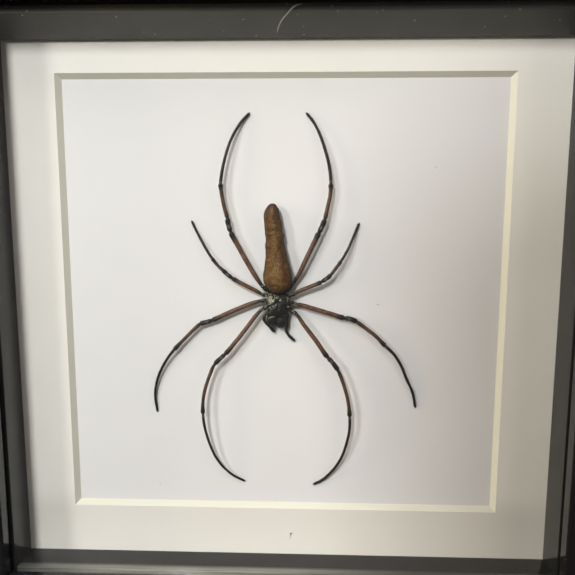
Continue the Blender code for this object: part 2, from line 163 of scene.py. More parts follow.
def add_node(tree, kind, settings=None, **inputs):
    """A shader node; each input is a number, a colour or another node's output."""
    made = tree.nodes.new(kind)
    for word, value in (settings or {}).items():
        setattr(made, word, value)
    for word, value in inputs.items():
        socket = made.inputs[word.replace("_", " ")]
        if isinstance(value, bpy.types.NodeSocket):
            tree.links.new(value, socket)
        else:
            socket.default_value = value
    return made


def blend(tree, factor, first, second):
    """The first colour where the factor is 0 and the second where it is 1."""
    made = tree.nodes.new("ShaderNodeMix")
    made.data_type = "RGBA"
    for index, value in ((0, factor), (6, first), (7, second)):
        if isinstance(value, bpy.types.NodeSocket):
            tree.links.new(value, made.inputs[index])
        else:
            made.inputs[index].default_value = value
    return made.outputs[2]


def combine(tree, operation, first, second):
    """Two numbers joined by a sum, a product or another operation."""
    made = add_node(tree, "ShaderNodeMath", {"operation": operation})
    for index, value in enumerate((first, second)):
        if isinstance(value, bpy.types.NodeSocket):
            tree.links.new(value, made.inputs[index])
        else:
            made.inputs[index].default_value = value
    return made.outputs["Value"]


def ramp(tree, factor, low, high, bottom=0.0, top=1.0):
    """A number that rises from bottom to top while the factor goes from low to high."""
    made = add_node(tree, "ShaderNodeMapRange", Value=factor, From_Min=low, From_Max=high,
                    To_Min=bottom, To_Max=top)
    return made.outputs["Result"]


def new_finish(name, **settings):
    """A material with its Principled shader's fixed sockets set; returns it, its nodes and shader."""
    made = bpy.data.materials.new(name)
    made.use_nodes = True
    shader = made.node_tree.nodes["Principled BSDF"]
    for word, value in settings.items():
        shader.inputs[word.replace("_", " ")].default_value = value
    return made, made.node_tree, shader


def object_noise(tree, scale, detail=2.0, stretch=(1.0, 1.0, 1.0)):
    """Cloudy noise on the object's own metres, with `scale` lumps a metre."""
    where = add_node(tree, "ShaderNodeTexCoord").outputs["Object"]
    turned = add_node(tree, "ShaderNodeMapping", Vector=where, Scale=stretch)
    made = add_node(tree, "ShaderNodeTexNoise", Vector=turned.outputs["Vector"], Scale=scale,
                    Detail=detail)
    return made.outputs["Fac"]


def add_bump(tree, shader, height, depth):
    """Relief of that depth in metres on the shader's normal, after any relief already there."""
    made = add_node(tree, "ShaderNodeBump", Height=height, Distance=depth, Strength=1.0)
    if shader.inputs["Normal"].is_linked:
        tree.links.new(shader.inputs["Normal"].links[0].from_socket, made.inputs["Normal"])
    tree.links.new(made.outputs["Normal"], shader.inputs["Normal"])


def dust_specks(tree, cells, radius, share):
    """1 in a few small round specks: a share of the cells holds one at its own random place."""
    where = add_node(tree, "ShaderNodeTexCoord").outputs["Object"]
    cell = add_node(tree, "ShaderNodeTexVoronoi", Vector=where, Scale=cells)
    pick = add_node(tree, "ShaderNodeSeparateColor", Color=cell.outputs["Color"])
    near = combine(tree, "LESS_THAN", cell.outputs["Distance"], radius * cells)
    return combine(tree, "MULTIPLY", near, combine(tree, "LESS_THAN", pick.outputs["Red"], share))


def lacquer(name, smoothest, roughest, shine, grain=0.00011, dusty=0.15, film=0.0):
    """Sprayed black lacquer: faint orange peel, roughness in clouds, and settled dust.

    grain is a speck's radius in metres, dusty the share of places with one, and film the share of
    dust in the coat's own colour.
    """
    made, tree, shader = new_finish(name, Specular_IOR_Level=shine)
    specks = dust_specks(tree, SPECKS_PER_METRE, grain, dusty)
    coat = tuple(black * (1 - film) + dust * film for black, dust in zip(BLACK_LACQUER, DUST_COLOUR))
    colour = blend(tree, specks, coat, DUST_COLOUR)
    tree.links.new(colour, shader.inputs["Base Color"])
    clouds = object_noise(tree, 90.0, 4.0)
    tree.links.new(ramp(tree, clouds, 0.3, 0.7, smoothest, roughest), shader.inputs["Roughness"])
    add_bump(tree, shader, object_noise(tree, 700.0), ORANGE_PEEL)
    return made


frame_paint = lacquer("black_lacquer", 0.07, 0.13, 0.5)

rail_outline = rounded(
    [(SIGHT, LIP_BACK), (SIGHT, LIP_FRONT), (OUTER, LIP_FRONT), (OUTER, RAIL_BACK),
     (RABBET, RAIL_BACK), (RABBET, LIP_BACK)],
    (0.15, 0.7, 1.2, 0.6, 0.3, 0.15),
)
rail_core = rail_outline.mean(axis=0)
grooved = rail_core + (rail_outline - rail_core) * GROOVED_SIZE
for quarter, side in enumerate(("bottom", "right", "top", "left")):
    turn = quarter * math.pi / 2
    rows = []
    for end, outline, inset in ((-1, grooved, MITRE_GAP), (-1, rail_outline, MITRE_GROOVE),
                                (1, rail_outline, MITRE_GROOVE), (1, grooved, MITRE_GAP)):
        out, level = outline.T
        along = end * (out - inset)
        rows.append(np.stack([
            along * math.cos(turn) + out * math.sin(turn),
            along * math.sin(turn) - out * math.cos(turn),
            level,
        ], axis=-1))
    rail = make_piece(f"rail_{side}_moulding", *closed_shell(np.array(rows)), [frame_paint])
    stand_for(rail, f"rail_{side}")


# Picture glass
# One clear pane, cut square, held in the rabbet between the lip and the spacer strips, with a
# faint film of dust on it.
FILM_THINNEST, FILM_THICKEST = 0.0025, 0.006  # share of the pane's light that the dust scatters

glass_finish, tree, shader = new_finish(
    "clear_picture_glass", Base_Color=(0.985, 0.995, 0.99, 1.0), Roughness=0.0, IOR=1.5,
    Transmission_Weight=1.0,
)
through = add_node(tree, "ShaderNodeBsdfTransparent", Color=(0.93, 0.95, 0.94, 1.0))
# only what is looked at through the pane is bent by it; light and shadow pass straight through
ray = add_node(tree, "ShaderNodeLightPath")
mirrored = combine(tree, "SUBTRACT", ray.outputs["Is Glossy Ray"],
                   ray.outputs["Is Transmission Ray"])
straight = combine(tree, "MAXIMUM", ray.outputs["Is Shadow Ray"], ray.outputs["Is Diffuse Ray"])
straight = combine(tree, "MAXIMUM", straight, mirrored)
dust_layer = add_node(tree, "ShaderNodeBsdfDiffuse", Color=(0.80, 0.79, 0.74, 1.0))
thin = ramp(tree, object_noise(tree, 22.0, 4.0), 0.3, 0.7, FILM_THINNEST, FILM_THICKEST)
dusty = add_node(tree, "ShaderNodeMixShader")
tree.links.new(thin, dusty.inputs[0])
tree.links.new(shader.outputs["BSDF"], dusty.inputs[1])
tree.links.new(dust_layer.outputs["BSDF"], dusty.inputs[2])
lit = add_node(tree, "ShaderNodeMixShader")
tree.links.new(straight, lit.inputs[0])
tree.links.new(dusty.outputs["Shader"], lit.inputs[1])
tree.links.new(through.outputs["BSDF"], lit.inputs[2])
tree.links.new(lit.outputs["Shader"], tree.nodes["Material Output"].inputs["Surface"])
refinish(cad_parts["glass"], glass_finish)


# Spacer strips
# Thin wood strips, lacquered a little duller than the rails, that stand round the mat and hold it
# off the glass. The top one has slipped inward at its foot until it jammed, and leans. Dust lies
# thickest on it and on the bottom one.
STRIP_THICK = 3.5
STRIP_FOOT = 0.0
STRIP_TOP = 14.85
LOW_STRIP_TOP = 13.9
STRIP_REACH = 113.5
STRIP_LEFT = -109.0
STRIP_RIGHT = 109.8
STRIP_BOTTOM = -109.7
STRIP_ROUND = 0.25
STRIP_CLEARANCE = 0.05  # between the ends of the level strips and the upright ones
LEAN_FOOT = 100.6
LEAN_ANGLE = math.radians(26.0)
LEAN_HEIGHT = 14.3
LEAN_LIFT = 0.05  # of its lower corner over the mat
STRIP_ENDS = ((0.0, 0.97), (0.2, 1.0))  # distance from a strip's end, and size of its section there

# dust on the bottom strip, in metres on the object: Y where it starts and where it is full; then
# towards each end two places on X, and the share of dust at each; this thinning at the ends is painted
# shade
DUST_STARTS, DUST_FULL = -0.0052, -0.0074
DUST_COVER = 0.55
DUST_ENDS_IN_SHADE = [(-0.106, -0.075, 0.35, 1.0), (0.005, 0.055, 1.0, 0.25)]

spacer_paint = lacquer("semi_gloss_black_lacquer", 0.15, 0.24, 0.3)
leaning_paint = lacquer("dusty_black_lacquer", 0.42, 0.55, 0.4, grain=0.0003, dusty=0.14, film=0.2)
ledge_paint = lacquer("black_lacquer_with_dust_and_painted_shade", 0.15, 0.24, 0.34)


def object_axes(tree):
    """The object's own X, Y and Z in metres."""
    where = add_node(tree, "ShaderNodeTexCoord").outputs["Object"]
    return add_node(tree, "ShaderNodeSeparateXYZ", Vector=where).outputs


def cover_with(finish, film, colour):
    """Lays a colour over the finish's own, as thickly as the film says."""
    tree = finish.node_tree
    base = tree.nodes["Principled BSDF"].inputs["Base Color"]
    tree.links.new(blend(tree, film, base.links[0].from_socket, colour), base)


def settle_dust_and_end_shade(finish):
    """A film of dust that thickens towards the glass and is wiped in streaks, thinned at both ends as
    painted shade.
    """
    tree = finish.node_tree
    axes = object_axes(tree)
    film = ramp(tree, axes["Y"], DUST_STARTS, DUST_FULL, 0.0, DUST_COVER)
    # painted shade: the dust thins towards both ends, where the left wall and the shade card keep the
    # lamps off
    for stretch in DUST_ENDS_IN_SHADE:
        film = combine(tree, "MULTIPLY", film, ramp(tree, axes["X"], *stretch))
    wiped = object_noise(tree, 1400.0, 3.0, (0.02, 1.0, 1.0))
    film = combine(tree, "MULTIPLY", film, ramp(tree, wiped, 0.3, 0.65, 0.6, 1.0))
    cover_with(finish, film, DUST_COLOUR)


settle_dust_and_end_shade(ledge_paint)


def make_strip(name, start, end, section, paint):
    """The rounded section of a strip carried from one end to the other."""
    way = (end - start) / np.linalg.norm(end - start)
    core = section.mean(axis=0)
    rows = [start + way * inset + core + (section - core) * size for inset, size in STRIP_ENDS]
    rows += [end + row - start - 2 * way * ((row - start) @ way)[:, None] for row in reversed(rows)]
    strip = make_piece(f"{name}_strip", *closed_shell(np.array(rows)), [paint])
    stand_for(strip, name)


def strip_section(height, axis, lean=0.0):
    """A strip's rounded section on its inner foot, its top leaned outward along the axis.

    Width w and height h become w cos(lean) + h sin(lean) outward and h cos(lean) - w sin(lean) up.
    """
    corners = [(0, 0), (0, height), (STRIP_THICK, height), (STRIP_THICK, 0)]
    width, rise = rounded(corners, (STRIP_ROUND,) * 4, 4).T[:, :, None]
    outward = width * math.cos(lean) + rise * math.sin(lean)
    upward = rise * math.cos(lean) - width * math.sin(lean)
    return outward * np.asarray(axis, float) + upward * np.array([0.0, 0.0, 1.0])


for name, x, outward in (("spacer_left", STRIP_LEFT, -1.0), ("spacer_right", STRIP_RIGHT, 1.0)):
    make_strip(name, np.array([x, -STRIP_REACH, STRIP_FOOT]), np.array([x, STRIP_REACH, STRIP_FOOT]),
               strip_section(STRIP_TOP - STRIP_FOOT, (outward, 0.0, 0.0)), spacer_paint)
lifted = LEAN_LIFT + STRIP_THICK * math.sin(LEAN_ANGLE)
for name, y, foot, section, paint in (
    ("spacer_bottom", STRIP_BOTTOM, STRIP_FOOT,
     strip_section(LOW_STRIP_TOP - STRIP_FOOT, (0.0, -1.0, 0.0)), ledge_paint),
    ("spacer_top", LEAN_FOOT, lifted,
     strip_section(LEAN_HEIGHT, (0.0, 1.0, 0.0), LEAN_ANGLE), leaning_paint),
):
    make_strip(name, np.array([STRIP_LEFT + STRIP_CLEARANCE, y, foot]),
               np.array([STRIP_RIGHT - STRIP_CLEARANCE, y, foot]), section, paint)


# Mat
# Cream paper-faced board with a square window, its edge cut at 45 degrees so that the paler core
# shows as a bevel all round.
BOARD_REACH = 113.5
WINDOW_X = 0.2
WINDOW_Y = -0.3
WINDOW_HALF = 89.0
MAT_THICK = 2.0
MAT_CREAM = (0.79, 0.765, 0.705, 1.0)
CORE_CREAM = (0.67, 0.655, 0.555, 1.0)
PAINTED_SHADE_GREY = (0.46, 0.44, 0.39, 1.0)
# the painted shade under the window: its heights on the object in metres, its cover, and the share left at
# the end
GREY_START, GREY_FULL, GREY_END = 0.043, 0.034, 0.018
GREY_COVER = 0.30
GREY_LEFT = 0.3


def paper(name, colour, grain, tooth):
    """Uncoated paper: faint clouds in its tone, and a fine felt tooth in its surface."""
    made, tree, shader = new_finish(name, Roughness=0.85, Specular_IOR_Level=0.25)
    clouds = ramp(tree, object_noise(tree, 60.0, 5.0), 0.3, 0.7)
    darker = tuple(c * (1 - grain) for c in colour[:3]) + (1.0,)
    tree.links.new(blend(tree, clouds, colour, darker), shader.inputs["Base Color"])
    add_bump(tree, shader, object_noise(tree, 1400.0, 3.0), tooth)
    add_bump(tree, shader, object_noise(tree, 260.0, 2.0), tooth * 2.0)
    return made


def shade_paper_below_window(finish):
    """Painted shade: paper painted greyer just under the window, and less so towards the board's lower
    edge.
    """
    tree = finish.node_tree
    height = object_axes(tree)["Z"]
    shade_band = ramp(tree, height, GREY_START, GREY_FULL, 0.0, GREY_COVER)
    fading = ramp(tree, height, GREY_FULL, GREY_END, 1.0, GREY_LEFT)
    cover_with(finish, combine(tree, "MULTIPLY", shade_band, fading), PAINTED_SHADE_GREY)


mat_paper = paper("cream_mat_paper", MAT_CREAM, 0.025, 0.00002)
# painted shade: the mat is greyer just under the window
shade_paper_below_window(mat_paper)
mat_core = paper("cream_mat_core", CORE_CREAM, 0.02, 0.00003)


def square_loop(half, level, across=0.0, up=0.0):
    """The four corners of a square at that level."""
    corners = np.array([(-1, -1), (1, -1), (1, 1), (-1, 1)]) * half + (across, up)
    return np.column_stack([corners, np.full(4, level)])


loops = np.array([
    square_loop(BOARD_REACH, 0.0),
    square_loop(WINDOW_HALF, 0.0, WINDOW_X, WINDOW_Y),
    square_loop(WINDOW_HALF - MAT_THICK, -MAT_THICK, WINDOW_X, WINDOW_Y),
    square_loop(BOARD_REACH, -MAT_THICK),
])
corner = np.arange(16).reshape(4, 4)
following = np.roll(corner, -1, axis=1)
bands = [
    np.stack([corner[i], following[i], following[(i + 1) % 4], corner[(i + 1) % 4]], axis=-1)
    for i in range(4)
]
mat = make_piece("mat_board", loops.reshape(-1, 3), bands, [mat_paper, mat_core],
                 smooth=False, inks=[0, 1, 0, 0])
stand_for(mat, "mat")


# Backing card
# Smooth white card behind the mat. The spider is glued to it.
CARD_FACE = -2.02
CARD_BACK = -3.8
CARD_WHITE = (0.68, 0.667, 0.655, 1.0)

card_paper = paper("white_card", CARD_WHITE, 0.015, 0.000012)
card_loops = [square_loop(BOARD_REACH, CARD_BACK), square_loop(BOARD_REACH, CARD_FACE)]
card = make_piece("white_card", *closed_shell(np.array(card_loops)), [card_paper], smooth=False)
stand_for(card, "backing_card")


# Back panel
# Brown hardboard, smooth side out, that closes the box from behind.
board_finish, tree, shader = new_finish("brown_hardboard", Roughness=0.62)
fibres = object_noise(tree, 420.0, 6.0, (1.0, 1.0, 1.6))
flecks = ramp(tree, fibres, 0.35, 0.68)
tree.links.new(blend(tree, flecks, (0.12, 0.065, 0.03, 1.0), (0.27, 0.16, 0.085, 1.0)),
               shader.inputs["Base Color"])
add_bump(tree, shader, fibres, 0.00005)
refinish(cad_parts["back_panel"], board_finish)


# Tabs and hanger
# Zinc-plated steel: eight bendable points driven into the rails over the panel, and a saw-tooth
# hanger plate on two pins near the top.
zinc, tree, shader = new_finish("zinc_plate", Base_Color=(0.56, 0.56, 0.54, 1.0), Metallic=1.0)
spangle = object_noise(tree, 500.0, 3.0)
tree.links.new(ramp(tree, spangle, 0.3, 0.7, 0.28, 0.45), shader.inputs["Roughness"])
add_bump(tree, shader, spangle, 0.00001)
for name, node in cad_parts.items():
    if name.startswith(("tab_", "hanger")):
        refinish(node, zinc)


# Abdomen
# The dried, long, bag-like hind body: brown skin with an ochre to olive back, wrinkled as it
# shrank. Places on the spider are millimetres: x right of the frame's middle, y up from the
# window's middle, and h towards the viewer.
SPIDER_FOOT = -2.3  # the level of h = 0, just inside the card

# y, middle x, half width, h of the middle, half height
ABDOMEN = [
    (3.4, -1.4, 0.9, 4.0, 0.9),
    (4.1, -1.5, 3.1, 4.2, 2.7),
    (5.6, -1.6, 4.5, 4.3, 3.7),
    (7.4, -1.8, 5.5, 4.4, 4.2),
    (9.9, -1.95, 5.9, 4.4, 4.3),
    (13.0, -2.0, 5.4, 4.3, 4.1),
    (16.5, -2.25, 4.65, 4.1, 3.9),
    (20.7, -2.7, 4.1, 3.8, 3.6),
    (22.6, -3.0, 3.9, 3.7, 3.5),
    (24.4, -3.1, 3.65, 3.6, 3.4),
    (26.4, -3.15, 3.8, 3.6, 3.4),
    (28.3, -3.45, 3.65, 3.5, 3.3),
    (31.8, -3.85, 3.5, 3.4, 3.2),
    (35.0, -4.15, 3.2, 3.2, 2.9),
    (37.0, -4.1, 2.55, 3.1, 2.3),
    (38.2, -4.05, 1.8, 3.0, 1.6),
    (38.9, -4.0, 0.95, 3.0, 0.9),
    (39.1, -4.0, 0.35, 3.0, 0.35),
]
PIT_ROWS = (9.5, 13.5, 17.5, 21.5, 25.5)  # paired muscle pits on the back
PIT_SPREAD = 0.36  # of the half width, each side of the middle
# height of each layer of folds, the size of its lumps, and its seed
FOLDS = [
    (0.17, (5.0, 1.5, 5.0), 1), (0.09, (2.6, 0.8, 2.2), 2), (0.10, (1.5, 3.5, 1.5), 3),
    (0.035, 0.45, 4),
]


def on_card(points):
    """Places on the spider to millimetres from the frame's middle."""
    return np.asarray(points, float) + (0.0, WINDOW_Y, SPIDER_FOOT)


def smooth_curve(knots, places):
    """Hermite curve through the knots, at places counted in knots.

    Between two knots: k0 (1 - r) + k1 r + t0 (t^3 - 2 t^2 + t) + t1 (t^3 - t^2), r = 3 t^2 - 2 t^3.
    """
    knots = np.asarray(knots, float)
    length = np.linalg.norm(np.diff(knots, axis=0), axis=1)[:, None]
    slope = np.diff(knots, axis=0) / length
    share = length[:-1] / (length[:-1] + length[1:])
    tangent = np.concatenate([slope[:1], slope[:-1] * (1 - share) + slope[1:] * share, slope[-1:]])
    i = np.minimum(np.asarray(places).astype(int), len(knots) - 2)
    t = (np.asarray(places) - i)[:, None]
    rise = 3 * t**2 - 2 * t**3
    return (
        knots[i] * (1 - rise) + knots[i + 1] * rise
        + tangent[i] * length[i] * (t**3 - 2 * t**2 + t)
        + tangent[i + 1] * length[i] * (t**3 - t**2)
    )


def cloud(points, size, seed):
    """Noise from -1 to 1: random numbers on a cubic lattice, blended between a cell's corners."""
    lattice = np.random.default_rng(seed).uniform(-1, 1, (32, 32, 32))
    cell = points / np.asarray(size, float)
    low = np.floor(cell).astype(int)
    t = cell - low
    t = t * t * (3 - 2 * t)
    total = np.zeros(points.shape[:-1])
    for step in np.ndindex(2, 2, 2):
        weight = np.prod(np.where(np.array(step) == 1, t, 1 - t), axis=-1)
        x, y, z = np.moveaxis((low + step) % 32, -1, 0)
        total += weight * lattice[x, y, z]
    return total


def bell(distance, width):
    """1 at no distance, falling smoothly: e to the power of minus (distance / width) squared."""
    return np.exp(-(np.asarray(distance) / width) ** 2)


def abdomen_surface(rows, around):
    """Ellipses through the smoothed stations, their radius moved in and out by folds and pits.

    Returns points, and masks: how pale the skin is, its back streak partly a painted highlight;
    how dark, with painted shade on the flanks and darker pits and ends; and how red.
    """
    station = smooth_curve(ABDOMEN, np.linspace(0, len(ABDOMEN) - 1, rows))
    y, x, width, h, height = (station[:, i, None] for i in range(5))
    angle = np.linspace(0, 2 * math.pi, around, endpoint=False)[None, :]
    side, top = np.cos(angle), np.sin(angle)
    points = np.stack(np.broadcast_arrays(x + width * side, y, h + height * top), axis=-1)
    edge = np.minimum(1.0, width / 2.5)  # folds fade towards the ends
    folds = sum(high * cloud(points, size, seed) for high, size, seed in FOLDS)
    # creases along both flanks, where the emptied skin folded lengthways
    flank = -0.35 * bell(top - 0.1, 0.14) * (0.6 + 0.4 * cloud(points, (9.0, 4.0, 9.0), 5))
    pits = np.zeros_like(folds)
    for row in PIT_ROWS:
        for hand in (-1, 1):
            off = np.hypot((side - hand * PIT_SPREAD) * width, y - row)
            pits = pits + bell(off, 0.42) * (top > 0)
    swell = (folds + flank - 0.07 * pits) * edge
    points = np.stack(np.broadcast_arrays(
        x + (width + swell) * side, y, h + (height + swell) * top), axis=-1)
    blotch = cloud(points, (1.1, 1.9, 1.1), 6)
    # a pale streak along the back, partly pale skin and partly a painted highlight
    streak = bell(side - 0.05 - 0.12 * cloud(points, (4.0, 4.0, 4.0), 7), 0.2) * (top > 0)
    pale = streak * (0.55 + 0.45 * blotch) * np.clip((y - 6) / 6, 0.15, 1)
    # painted shade: the flanks darker than the back; the pits and both ends are darker as well
    dark = np.clip(1.22 - 1.5 * top, 0, 1) + 0.3 * pits
    dark = dark + bell(y - ABDOMEN[0][0], 2.0) + 0.6 * bell(y - ABDOMEN[-1][0], 2.6)
    red = bell(np.abs(side) - 0.55, 0.22) * (0.5 + 0.5 * cloud(points, (1.6, 3.0, 1.6), 8))
    red += 0.35 * np.clip((y - 14) / 8, 0, 1) * (0.7 + 0.3 * cloud(points, (2.2, 2.6, 2.2), 9))
    return points, {"pale": pale, "dark": dark, "red": red}


def cap_masks(masks):
    """Each mask with the mean of its first and last ring added, for the two fan middles."""
    return {
        word: np.concatenate([values.ravel(), values[[0, -1]].mean(axis=1)])
        for word, values in masks.items()
    }


def mask(tree, word):
    """A number that the mesh holds on its points."""
    return add_node(tree, "ShaderNodeAttribute", {"attribute_name": word}).outputs["Fac"]


abdomen_skin, tree, shader = new_finish("dried_abdomen_skin", Specular_IOR_Level=0.15)
patches = ramp(tree, object_noise(tree, 520.0, 3.0), 0.38, 0.60)
brown = blend(tree, patches, (0.086, 0.042, 0.007, 1.0), (0.172, 0.094, 0.016, 1.0))
russet = blend(tree, ramp(tree, mask(tree, "red"), 0.1, 0.9), brown, (0.078, 0.022, 0.006, 1.0))
# the pale streak is partly a painted highlight
streaked = blend(tree, ramp(tree, mask(tree, "pale"), 0.1, 0.9), russet, (0.22, 0.135, 0.065, 1.0))
speckle = ramp(tree, object_noise(tree, 2200.0, 4.0), 0.36, 0.56)
pitted = blend(tree, speckle, (0.030, 0.015, 0.005, 1.0), streaked)
# painted shade: the dark mask darkens the flanks, the pits and the ends
shaded = blend(tree, ramp(tree, mask(tree, "dark"), 0.0, 1.0), pitted, (0.024, 0.018, 0.013, 1.0))
tree.links.new(shaded, shader.inputs["Base Color"])
tree.links.new(ramp(tree, speckle, 0.0, 1.0, 0.5, 0.65), shader.inputs["Roughness"])
add_bump(tree, shader, object_noise(tree, 2600.0, 3.0), 0.00006)

rings, masks = abdomen_surface(300, 150)
points, faces = closed_shell(on_card(rings))
abdomen = make_piece("abdomen_skin", points, faces, [abdomen_skin], cap_masks(masks))
stand_for(abdomen, "abdomen")


# Cephalothorax
# The hard front body: a black shell, domed over the head and sunk at its middle, with silvery
# hair in patches and eight bead eyes on the brow. A thin stalk joins it to the hind body.

# y, middle x, half width, h of the rim, height above the rim, depth below it
CEPHALOTHORAX = [
    (5.2, -1.6, 1.2, 3.4, 0.4, 0.5),
    (3.7, -1.7, 2.8, 3.6, 0.7, 0.9),
    (2.8, -1.7, 3.9, 3.8, 1.1, 1.4),
    (1.9, -1.7, 4.4, 4.0, 1.6, 2.0),
    (0.8, -1.75, 4.7, 4.0, 2.0, 2.6),
    (-0.8, -1.7, 4.8, 4.0, 2.1, 2.8),
    (-2.2, -1.6, 4.3, 4.0, 2.2, 2.8),
    (-3.5, -1.8, 4.2, 4.0, 2.3, 2.4),
    (-4.9, -2.1, 4.3, 4.0, 2.0, 1.9),
    (-6.0, -2.2, 3.6, 4.0, 1.2, 1.2),
]
FOVEA = (-1.7, 0.2)  # the sunken middle of the shell
# x, y, half width and half length of each patch of silvery hair, and how full it is
HAIR_PATCHES = [
    (-4.5, 0.7, 1.4, 1.7, 1.0),
    (-3.6, -1.0, 0.9, 1.0, 0.6),
    (-0.5, 1.0, 0.5, 0.8, 1.0),
    (-1.9, 1.9, 0.9, 0.5, 0.4),
    (2.0, 0.6, 0.35, 1.3, 0.4),
    (2.1, -1.3, 0.3, 0.9, 0.3),
    (-4.6, -2.4, 0.7, 0.8, 0.3),
]
TUFTS = 84
HAIRS_PER_TUFT = 4
TUFT_SPREAD = 0.11
SILVER_HAIR_RADIUS = 0.07
FINE_HAIRS = 500
FINE_HAIR_RADIUS = 0.02
UPPER_SIDE = 4.1  # h over which the shell faces up
HAIR_SEED = 21
# x, y and half size of each eye; its h is the shell's
EYES = [
    (-1.0, -5.35, 0.26), (-2.4, -5.35, 0.26), (-1.0, -4.65, 0.28), (-2.4, -4.65, 0.28),
    (1.1, -5.0, 0.24), (-4.5, -5.0, 0.24), (1.4, -4.5, 0.24), (-4.8, -4.5, 0.24),
]


def shell_surface(rows, around):
    """A dome above the rim and a narrower underside, with a sunk middle and a grooved head.

    Returns points and a mask of how thickly the hair lies.
    """
    station = smooth_curve(CEPHALOTHORAX, np.linspace(0, len(CEPHALOTHORAX) - 1, rows))
    y, x, width, rim, above, below = (station[:, i, None] for i in range(6))
    angle = np.linspace(0, 2 * math.pi, around, endpoint=False)[None, :]
    side, top = np.cos(angle), np.sin(angle)
    across = x + width * side * np.where(top < 0, 1 + 0.45 * top, 1.0)
    up = np.where(top > 0, above * np.abs(top) ** 0.8, below * top)
    from_fovea = np.hypot(across - FOVEA[0], y - FOVEA[1])
    groove = np.abs(np.abs(across - x) - (0.7 - 0.75 * (y - FOVEA[1])))
    sunk = 0.75 * bell(from_fovea, 0.8) + 0.4 * bell(groove, 0.28) * (y < 0) * (y > -3.8)
    rays = 0.12 * np.cos(7 * np.arctan2(across - FOVEA[0], y - FOVEA[1])) * bell(from_fovea - 2.6, 1.3)
    points = np.stack(np.broadcast_arrays(across, y, rim + up), axis=-1)
    rough = 0.16 * cloud(points, 1.1, 11) + 0.09 * cloud(points, 0.4, 12)
    points[..., 2] += (top > 0) * (rough + rays - sunk)
    down = np.zeros_like(up)
    for middle_x, middle_y, half_x, half_y, full in HAIR_PATCHES:
        off = np.hypot((across - middle_x) / half_x, (y - middle_y) / half_y)
        down = np.maximum(down, full * bell(off, 0.95))
    return points, {"down": down * (top > 0)}


def grow(roots, ways, bends, radius):
    """Three-sided hairs that taper to a point: root + s way + s^2 bend, for s from 0 to 1."""
    axis = np.array([0.13, 0.37, 0.92])
    first = np.cross(ways, axis)
    first /= np.linalg.norm(first, axis=1)[:, None]
    second = np.cross(ways, first)
    second /= np.linalg.norm(second, axis=1)[:, None]
    radius = np.broadcast_to(radius, len(roots))[:, None]
    rings = []
    for s, thick in ((0.0, 1.0), (0.5, 0.75)):
        middle = roots + s * ways + s**2 * bends
        for turn in (0.0, 2 * math.pi / 3, 4 * math.pi / 3):
            rings.append(middle + thick * radius * (math.cos(turn) * first + math.sin(turn) * second))
    points = np.stack([*rings, roots + ways + bends], axis=1).reshape(-1, 3)
    base = 7 * np.arange(len(roots))[:, None, None]
    quads = (base + np.array([(0, 1, 4, 3), (1, 2, 5, 4), (2, 0, 3, 5)])).reshape(-1, 4)
    tips = (base + np.array([(3, 4, 6), (4, 5, 6), (5, 3, 6), (0, 2, 1)])).reshape(-1, 3)
    return points, [quads, tips]


def gather(parts, words):
    """Joins parts, each (points, faces, masks), into one; a mask that a part lacks is nought."""
    points, faces, masks, start = [], [], {word: [] for word in words}, 0
    for part_points, part_faces, part_masks in parts:
        points.append(part_points)
        faces += [array + start for array in part_faces]
        for word in words:
            masks[word].append(np.broadcast_to(part_masks.get(word, 0.0), len(part_points)))
        start += len(part_points)
    return np.concatenate(points), faces, {word: np.concatenate(masks[word]) for word in words}


def dress(node, ending, parts, words, finish):
    """The joined parts, set on the card, take the place of that CAD node of the spider."""
    points, faces, masks = gather(parts, words)
    piece = make_piece(f"{node}_{ending}", on_card(points), faces, [finish], masks)
    stand_for(piece, node)


def bead(middle, half, rows, around):
    """An ellipsoid: middle + half (sin v cos u, -cos v, sin v sin u), from pole to pole in y."""
    v = np.linspace(0.12, math.pi - 0.12, rows)[:, None]
    u = np.linspace(0, 2 * math.pi, around, endpoint=False)[None, :]
    shape = np.stack(np.broadcast_arrays(np.sin(v) * np.cos(u), -np.cos(v), np.sin(v) * np.sin(u)), -1)
    return np.asarray(middle) + shape * half


def shell_finish(name, gloss):
    """Black dried shell, greyer where silvery down lies on it, with pale hair by mask."""
    made, tree, shader = new_finish(name, Specular_IOR_Level=0.2)
    patchy = ramp(tree, object_noise(tree, 2400.0, 3.0), 0.40, 0.60)
    black = blend(tree, patchy, (0.002, 0.002, 0.002, 1.0), (0.010, 0.009, 0.008, 1.0))
    tufts = ramp(tree, object_noise(tree, 1700.0, 2.0), 0.38, 0.58)
    downy = combine(tree, "MULTIPLY", mask(tree, "down"), tufts)
    silvery = blend(tree, downy, black, (0.10, 0.11, 0.08, 1.0))
    haired = blend(tree, mask(tree, "pale"), silvery, (0.80, 0.79, 0.61, 1.0))
    tree.links.new(haired, shader.inputs["Base Color"])
    tree.links.new(ramp(tree, patchy, 0.0, 1.0, gloss, gloss + 0.15), shader.inputs["Roughness"])
    add_bump(tree, shader, object_noise(tree, 3000.0, 3.0), 0.00004)
    add_bump(tree, shader, object_noise(tree, 1100.0, 2.0), 0.00034)
    return made


dark_shell = shell_finish("black_shell", 0.34)
draws = np.random.default_rng(HAIR_SEED)

